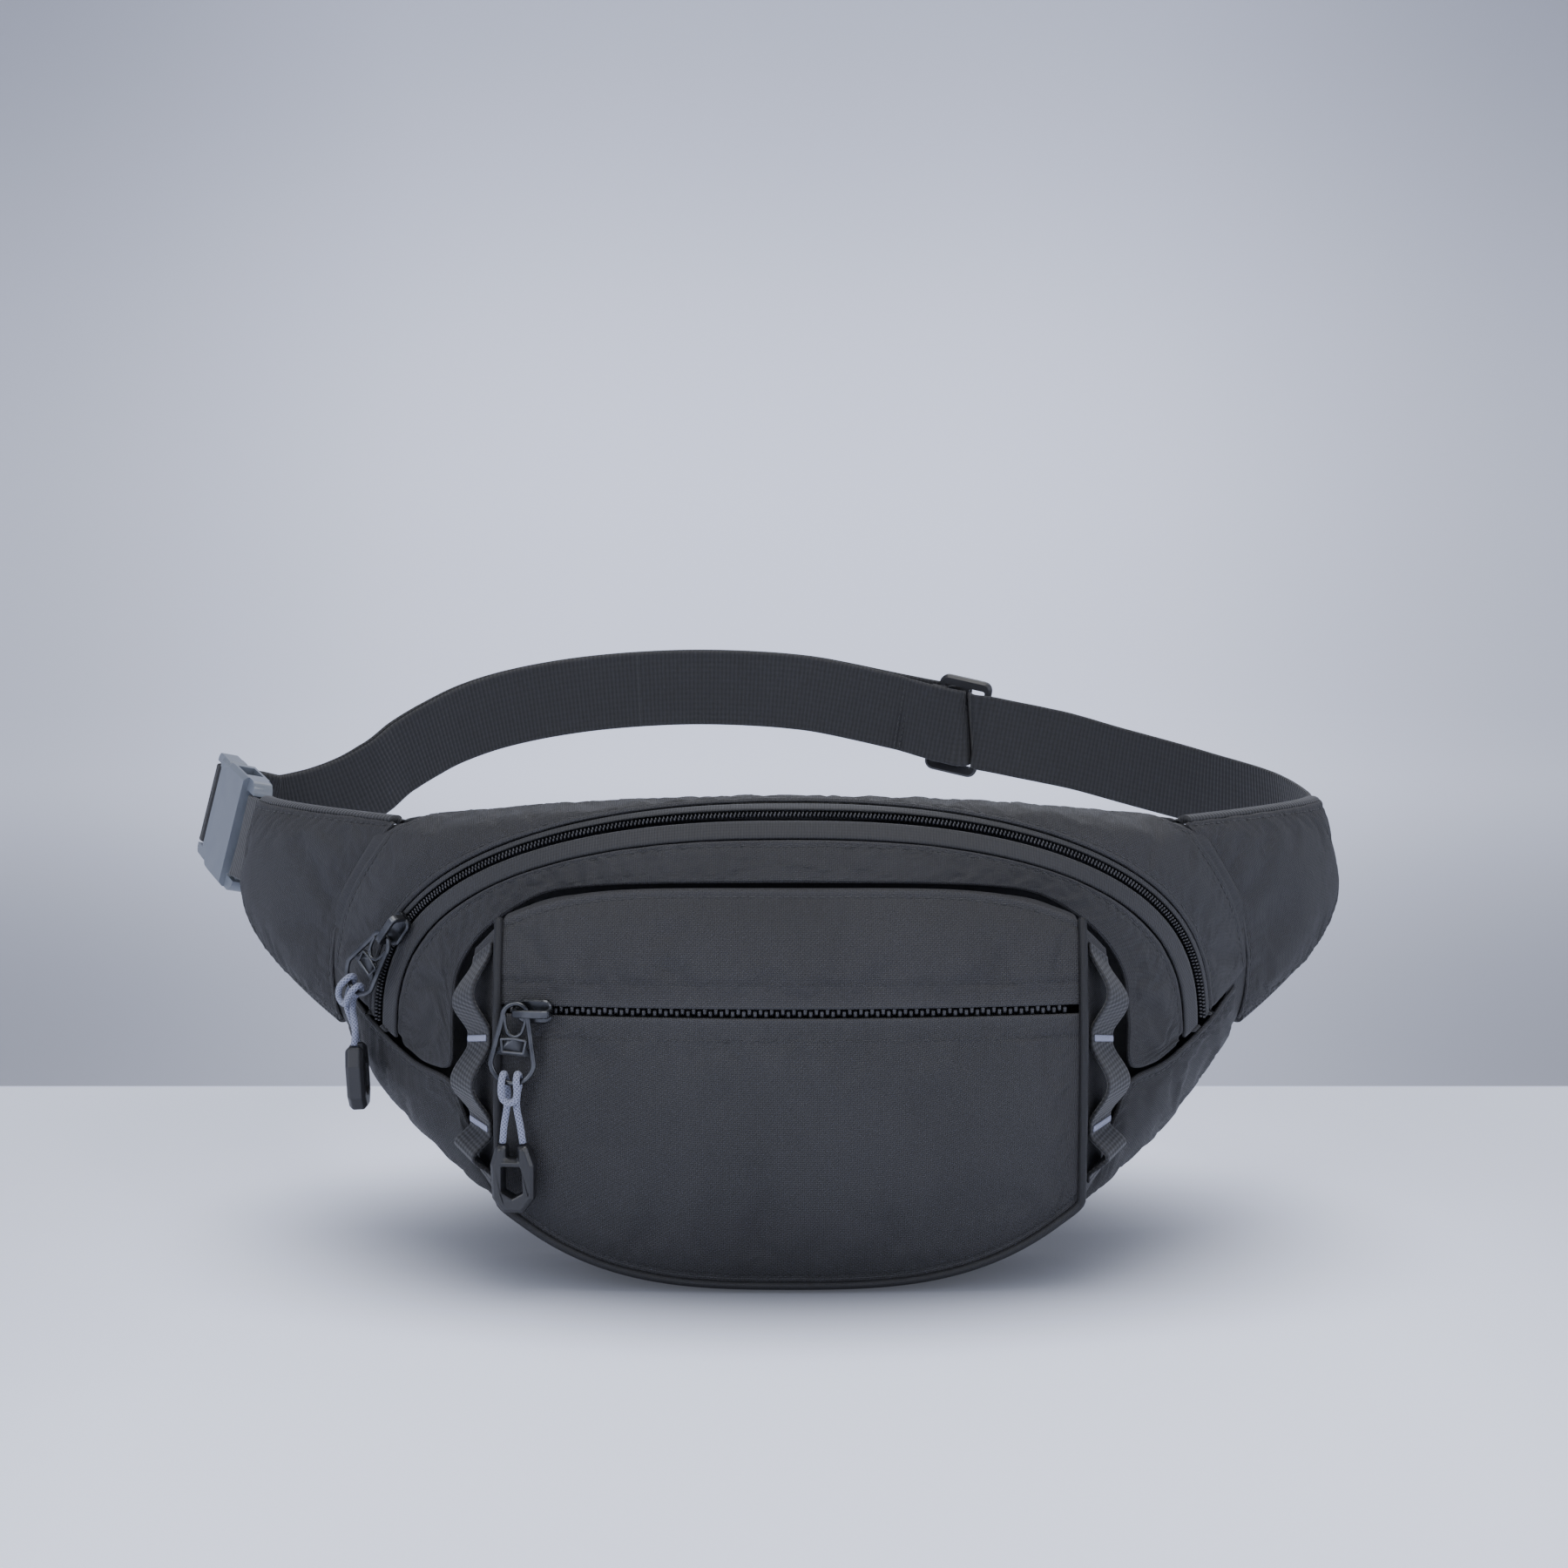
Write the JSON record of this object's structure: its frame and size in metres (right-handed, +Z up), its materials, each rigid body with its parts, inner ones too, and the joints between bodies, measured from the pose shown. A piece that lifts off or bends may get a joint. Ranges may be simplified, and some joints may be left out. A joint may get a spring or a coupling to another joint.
{
  "type": "waist pack",
  "caption": "Zipped crescent waist pack with a raised front pocket, padded hip wings, corded zip pulls and an adjustable webbing belt closed by a side-release buckle.",
  "frame": {"origin": "on the floor under the middle of the pouch's flat bottom", "axes": "+Z up, -Y towards the front pocket and away from the wearer, +X to the right seen from the front"},
  "size_m": [0.4161, 0.2709, 0.1866],
  "materials": {
    "air_mesh": "matt open knit",
    "black_plastic": "fine matt",
    "buckle_plastic": "satin",
    "foam": "matt closed-cell foam",
    "lining": "matt woven",
    "nylon": "satin coated plain weave",
    "pull_cord": "braided",
    "tack_thread": "matt thread",
    "webbing": "matt ribbed webbing",
    "zip_coil": "satin coil",
    "zip_metal": "satin gunmetal",
    "zip_tape": "matt woven tape"
  },
  "bodies": {
    "pouch": {"hood_panel": "nylon", "main_zip_tape_outer": "zip_tape", "main_zip_coil": "zip_coil", "main_zip_tape_inner": "zip_tape", "top_yoke_panel": "nylon", "lower_gusset_panel": "nylon", "main_front_panel": "nylon", "back_air_mesh": "air_mesh", "back_foam_pad": "foam", "back_lining": "lining", "pocket_upper_facing": "nylon", "pocket_lower_panel": "nylon", "pocket_zip_tape_upper": "zip_tape", "pocket_zip_tape_lower": "zip_tape", "pocket_zip_teeth": "zip_coil", "pocket_side_wall_left": "nylon", "ladder_webbing_left": "webbing", "bar_tack_left_upper": "tack_thread", "bar_tack_left_lower": "tack_thread", "pocket_side_wall_right": "nylon", "ladder_webbing_right": "webbing", "bar_tack_right_upper": "tack_thread", "bar_tack_right_lower": "tack_thread", "pocket_piping": "lining", "pocket_floor": "nylon", "wing_cover_left": "nylon", "wing_foam_left": "foam", "wing_air_mesh_left": "air_mesh", "wing_cover_right": "nylon", "wing_foam_right": "foam", "wing_air_mesh_right": "air_mesh", "belt_right": "webbing", "belt_far_layer": "webbing", "belt_near_layer": "webbing", "wing_webbing_left": "webbing", "buckle_housing": "buckle_plastic"},
    "pocket_zip_slider": {"pocket_slider": "zip_metal"},
    "pocket_zip_puller": {"pocket_puller": "zip_metal"},
    "pocket_zip_pull": {"pocket_pull_cord": "pull_cord", "pocket_pull_grip": "black_plastic"},
    "main_zip_slider": {"main_slider": "zip_metal"},
    "main_zip_puller": {"main_puller": "zip_metal"},
    "main_zip_pull": {"main_pull_cord": "pull_cord", "main_pull_grip": "black_plastic"},
    "buckle_male": {"buckle_latch": "buckle_plastic", "belt_buckle_loop": "webbing"},
    "latch_upper": {"buckle_arm_upper": "buckle_plastic"},
    "latch_lower": {"buckle_arm_lower": "buckle_plastic"},
    "belt_adjuster": {"glide_frame": "black_plastic", "belt_threading": "webbing", "belt_sewn_end": "webbing"}
  },
  "joints": [
    {"name": "pocket_zip_travel", "type": "hinge", "parent": "pouch", "child": "pocket_zip_slider", "pos_m": [0, 0.40368, 0.09], "axis": [0, 0, 1], "range_deg": [0, 19.5]},
    {"name": "pocket_puller_swing", "type": "hinge", "parent": "pocket_zip_slider", "child": "pocket_zip_puller", "pos_m": [-0.08392, -0.04375, 0.09], "axis": [-0.9834, 0.1719, 0.0585], "range_deg": [0, 30]},
    {"name": "pocket_cord_swing", "type": "hinge", "parent": "pocket_zip_puller", "child": "pocket_zip_pull", "pos_m": [-0.08543, -0.04505, 0.06834], "axis": [-0.9849, 0.1722, -0.0197], "range_deg": [0, 50]},
    {"name": "main_zip_travel", "type": "hinge", "parent": "pouch", "child": "main_zip_slider", "pos_m": [-0.05992, 0.01876, 0.07203], "axis": [0.047, 0.877, 0.4782], "range_deg": [0, 26]},
    {"name": "main_puller_swing", "type": "hinge", "parent": "main_zip_slider", "child": "main_zip_puller", "pos_m": [-0.12969, -0.00058, 0.10657], "axis": [-0.5733, 0.4857, 0.6599], "range_deg": [0, 45]},
    {"name": "main_cord_swing", "type": "hinge", "parent": "main_zip_puller", "child": "main_zip_pull", "pos_m": [-0.14244, 0.00937, 0.08817], "axis": [-0.7624, 0.646, -0.0381], "range_deg": [0, 20]},
    {"name": "buckle_release", "type": "slide", "parent": "pouch", "child": "buckle_male", "axis": [-0.4219, 0.894, 0.1507], "range_m": [0, 0.035]},
    {"name": "latch_upper_press", "type": "hinge", "parent": "buckle_male", "child": "latch_upper", "pos_m": [-0.20477, 0.13145, 0.13887], "axis": [0.8682, 0.4463, -0.217], "range_deg": [0, 6], "stiffness_Nm_per_rad": 0.2},
    {"name": "latch_lower_press", "type": "hinge", "parent": "buckle_male", "child": "latch_lower", "pos_m": [-0.20947, 0.13216, 0.12151], "axis": [-0.8682, -0.4463, 0.217], "range_deg": [0, 6], "stiffness_Nm_per_rad": 0.2},
    {"name": "adjuster_slide", "type": "slide", "parent": "pouch", "child": "belt_adjuster", "axis": [-0.9528, 0.2246, 0.2042], "range_m": [-0.01, 0.01]}
  ]
}
